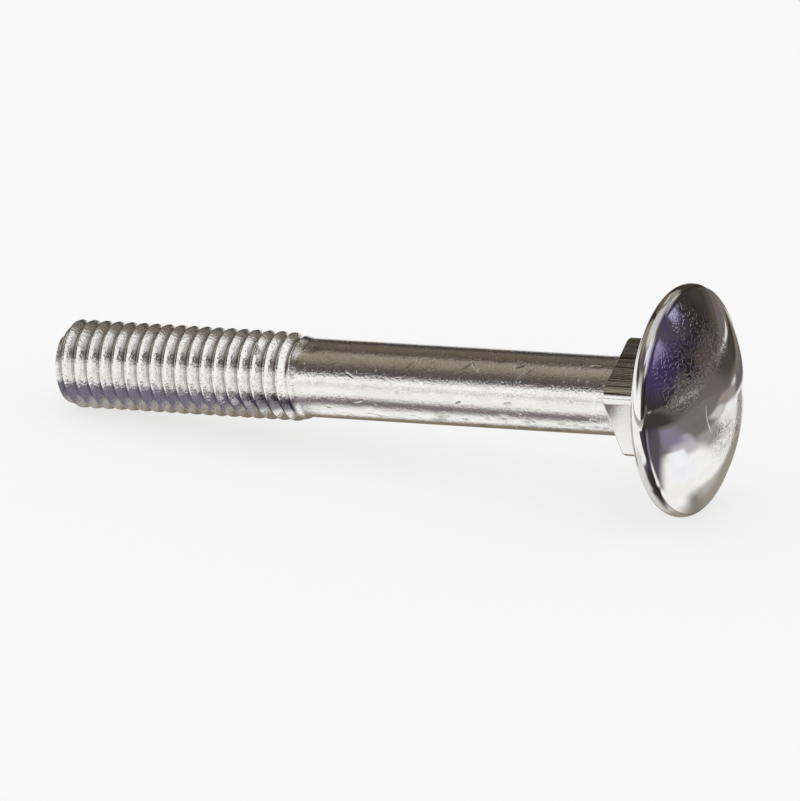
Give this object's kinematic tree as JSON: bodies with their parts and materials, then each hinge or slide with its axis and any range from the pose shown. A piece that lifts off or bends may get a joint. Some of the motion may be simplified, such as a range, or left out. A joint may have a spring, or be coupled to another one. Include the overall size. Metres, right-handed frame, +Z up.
{
  "type": "carriage bolt",
  "caption": "Carriage bolt with a shallow domed head, a short square neck, a plain shank and a rolled metric thread, lying on its side.",
  "frame": {"origin": "on the surface that the bolt lies on, at the middle of its bounding box", "axes": "+X runs along the bolt towards the head, +Z is up; the bolt's own axis lies in the XZ plane and rises 6.02 degrees towards the head, because it rests on the rim of the head and the end of the thread"},
  "size_m": [0.064, 0.0202, 0.0202],
  "materials": {
    "zinc_plated_steel": "bright zinc plate, smooth, with small handling scuffs"
  },
  "bodies": {
    "root": {"carriage_bolt": "zinc_plated_steel"}
  },
  "joints": []
}
